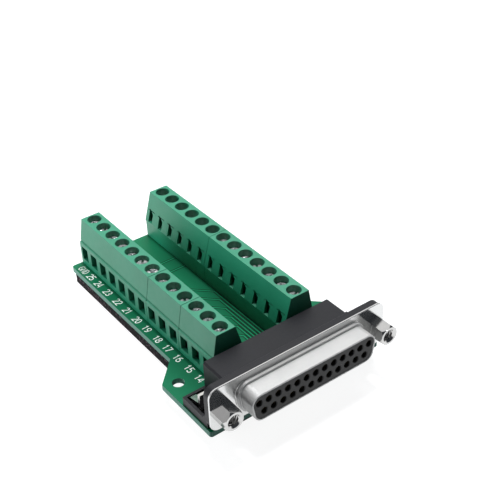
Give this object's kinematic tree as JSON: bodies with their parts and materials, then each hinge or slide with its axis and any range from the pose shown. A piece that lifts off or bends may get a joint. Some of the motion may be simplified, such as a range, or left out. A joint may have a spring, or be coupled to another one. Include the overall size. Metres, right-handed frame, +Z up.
{
  "type": "d-sub terminal block adapter",
  "caption": "Circuit board with a D-sub socket at one end, broken out to two rows of screw terminals, standing on a foam pad.",
  "frame": {"origin": "middle of the underside of the pad, on the surface that it stands on", "axes": "+Z up, the socket faces -Y, +X to the right seen from the socket's front"},
  "size_m": [0.053, 0.086, 0.0189],
  "materials": {
    "board_laminate": "satin solder mask",
    "foam_pad": "dull, speckled",
    "nickel_shell": "bright nickel",
    "black_nylon": "fine mould grain",
    "green_polyamide": "smooth moulded",
    "plated_brass": "plated",
    "tinned_copper": "bright tin",
    "zinc_steel": "zinc plated",
    "nickel_brass": "bright nickel",
    "solder": "bright"
  },
  "bodies": {
    "adapter": {"base_pad": "foam_pad", "board_lock_left": "tinned_copper", "board_lock_right": "tinned_copper", "circuit_board": "board_laminate", "connector_bracket": "black_nylon", "connector_shell": "nickel_shell", "contacts_lower": "plated_brass", "contacts_upper": "plated_brass", "jackscrew_left": "nickel_brass", "jackscrew_right": "nickel_brass", "socket_insulator": "black_nylon", "terminal_housing_left_front": "green_polyamide", "terminal_housing_left_middle": "green_polyamide", "terminal_housing_left_rear": "green_polyamide", "terminal_housing_right_front": "green_polyamide", "terminal_housing_right_rear": "green_polyamide", "terminal_pins_left_front": "tinned_copper", "terminal_pins_left_middle": "tinned_copper", "terminal_pins_left_rear": "tinned_copper", "terminal_pins_right_front": "tinned_copper", "terminal_pins_right_rear": "tinned_copper", "thread_insert_left": "nickel_brass", "thread_insert_right": "nickel_brass", "wire_clamps_left_front": "plated_brass", "wire_clamps_left_middle": "plated_brass", "wire_clamps_left_rear": "plated_brass", "wire_clamps_right_front": "plated_brass", "wire_clamps_right_rear": "plated_brass"},
    "screw_gnd": {"terminal_screw_gnd": "zinc_steel"},
    "screw_25": {"terminal_screw_25": "zinc_steel"},
    "screw_24": {"terminal_screw_24": "zinc_steel"},
    "screw_23": {"terminal_screw_23": "zinc_steel"},
    "screw_22": {"terminal_screw_22": "zinc_steel"},
    "screw_21": {"terminal_screw_21": "zinc_steel"},
    "screw_20": {"terminal_screw_20": "zinc_steel"},
    "screw_19": {"terminal_screw_19": "zinc_steel"},
    "screw_18": {"terminal_screw_18": "zinc_steel"},
    "screw_17": {"terminal_screw_17": "zinc_steel"},
    "screw_16": {"terminal_screw_16": "zinc_steel"},
    "screw_15": {"terminal_screw_15": "zinc_steel"},
    "screw_14": {"terminal_screw_14": "zinc_steel"},
    "screw_13": {"terminal_screw_13": "zinc_steel"},
    "screw_12": {"terminal_screw_12": "zinc_steel"},
    "screw_11": {"terminal_screw_11": "zinc_steel"},
    "screw_10": {"terminal_screw_10": "zinc_steel"},
    "screw_09": {"terminal_screw_09": "zinc_steel"},
    "screw_08": {"terminal_screw_08": "zinc_steel"},
    "screw_07": {"terminal_screw_07": "zinc_steel"},
    "screw_06": {"terminal_screw_06": "zinc_steel"},
    "screw_05": {"terminal_screw_05": "zinc_steel"},
    "screw_04": {"terminal_screw_04": "zinc_steel"},
    "screw_03": {"terminal_screw_03": "zinc_steel"},
    "screw_02": {"terminal_screw_02": "zinc_steel"},
    "screw_01": {"terminal_screw_01": "zinc_steel"}
  },
  "joints": [
    {"name": "turn_screw_gnd", "type": "hinge", "parent": "adapter", "child": "screw_gnd", "pos_m": [-0.0114, 0.04041, 0.015], "axis": [0, 0, 1], "range_deg": [-1260, 0]},
    {"name": "turn_screw_25", "type": "hinge", "parent": "adapter", "child": "screw_25", "pos_m": [-0.0114, 0.03533, 0.015], "axis": [0, 0, 1], "range_deg": [-1260, 0]},
    {"name": "turn_screw_24", "type": "hinge", "parent": "adapter", "child": "screw_24", "pos_m": [-0.0114, 0.03025, 0.015], "axis": [0, 0, 1], "range_deg": [-1260, 0]},
    {"name": "turn_screw_23", "type": "hinge", "parent": "adapter", "child": "screw_23", "pos_m": [-0.0114, 0.02517, 0.015], "axis": [0, 0, 1], "range_deg": [-1260, 0]},
    {"name": "turn_screw_22", "type": "hinge", "parent": "adapter", "child": "screw_22", "pos_m": [-0.0114, 0.02009, 0.015], "axis": [0, 0, 1], "range_deg": [-1260, 0]},
    {"name": "turn_screw_21", "type": "hinge", "parent": "adapter", "child": "screw_21", "pos_m": [-0.0114, 0.01501, 0.015], "axis": [0, 0, 1], "range_deg": [-1260, 0]},
    {"name": "turn_screw_20", "type": "hinge", "parent": "adapter", "child": "screw_20", "pos_m": [-0.0114, 0.00993, 0.015], "axis": [0, 0, 1], "range_deg": [-1260, 0]},
    {"name": "turn_screw_19", "type": "hinge", "parent": "adapter", "child": "screw_19", "pos_m": [-0.0114, 0.00485, 0.015], "axis": [0, 0, 1], "range_deg": [-1260, 0]},
    {"name": "turn_screw_18", "type": "hinge", "parent": "adapter", "child": "screw_18", "pos_m": [-0.0114, -0.00023, 0.015], "axis": [0, 0, 1], "range_deg": [-1260, 0]},
    {"name": "turn_screw_17", "type": "hinge", "parent": "adapter", "child": "screw_17", "pos_m": [-0.0114, -0.00531, 0.015], "axis": [0, 0, 1], "range_deg": [-1260, 0]},
    {"name": "turn_screw_16", "type": "hinge", "parent": "adapter", "child": "screw_16", "pos_m": [-0.0114, -0.01039, 0.015], "axis": [0, 0, 1], "range_deg": [-1260, 0]},
    {"name": "turn_screw_15", "type": "hinge", "parent": "adapter", "child": "screw_15", "pos_m": [-0.0114, -0.01547, 0.015], "axis": [0, 0, 1], "range_deg": [-1260, 0]},
    {"name": "turn_screw_14", "type": "hinge", "parent": "adapter", "child": "screw_14", "pos_m": [-0.0114, -0.02055, 0.015], "axis": [0, 0, 1], "range_deg": [-1260, 0]},
    {"name": "turn_screw_13", "type": "hinge", "parent": "adapter", "child": "screw_13", "pos_m": [0.0114, 0.04041, 0.015], "axis": [0, 0, 1], "range_deg": [-1260, 0]},
    {"name": "turn_screw_12", "type": "hinge", "parent": "adapter", "child": "screw_12", "pos_m": [0.0114, 0.03533, 0.015], "axis": [0, 0, 1], "range_deg": [-1260, 0]},
    {"name": "turn_screw_11", "type": "hinge", "parent": "adapter", "child": "screw_11", "pos_m": [0.0114, 0.03025, 0.015], "axis": [0, 0, 1], "range_deg": [-1260, 0]},
    {"name": "turn_screw_10", "type": "hinge", "parent": "adapter", "child": "screw_10", "pos_m": [0.0114, 0.02517, 0.015], "axis": [0, 0, 1], "range_deg": [-1260, 0]},
    {"name": "turn_screw_09", "type": "hinge", "parent": "adapter", "child": "screw_09", "pos_m": [0.0114, 0.02009, 0.015], "axis": [0, 0, 1], "range_deg": [-1260, 0]},
    {"name": "turn_screw_08", "type": "hinge", "parent": "adapter", "child": "screw_08", "pos_m": [0.0114, 0.01501, 0.015], "axis": [0, 0, 1], "range_deg": [-1260, 0]},
    {"name": "turn_screw_07", "type": "hinge", "parent": "adapter", "child": "screw_07", "pos_m": [0.0114, 0.00993, 0.015], "axis": [0, 0, 1], "range_deg": [-1260, 0]},
    {"name": "turn_screw_06", "type": "hinge", "parent": "adapter", "child": "screw_06", "pos_m": [0.0114, 0.00485, 0.015], "axis": [0, 0, 1], "range_deg": [-1260, 0]},
    {"name": "turn_screw_05", "type": "hinge", "parent": "adapter", "child": "screw_05", "pos_m": [0.0114, -0.00023, 0.015], "axis": [0, 0, 1], "range_deg": [-1260, 0]},
    {"name": "turn_screw_04", "type": "hinge", "parent": "adapter", "child": "screw_04", "pos_m": [0.0114, -0.00531, 0.015], "axis": [0, 0, 1], "range_deg": [-1260, 0]},
    {"name": "turn_screw_03", "type": "hinge", "parent": "adapter", "child": "screw_03", "pos_m": [0.0114, -0.01039, 0.015], "axis": [0, 0, 1], "range_deg": [-1260, 0]},
    {"name": "turn_screw_02", "type": "hinge", "parent": "adapter", "child": "screw_02", "pos_m": [0.0114, -0.01547, 0.015], "axis": [0, 0, 1], "range_deg": [-1260, 0]},
    {"name": "turn_screw_01", "type": "hinge", "parent": "adapter", "child": "screw_01", "pos_m": [0.0114, -0.02055, 0.015], "axis": [0, 0, 1], "range_deg": [-1260, 0]}
  ]
}
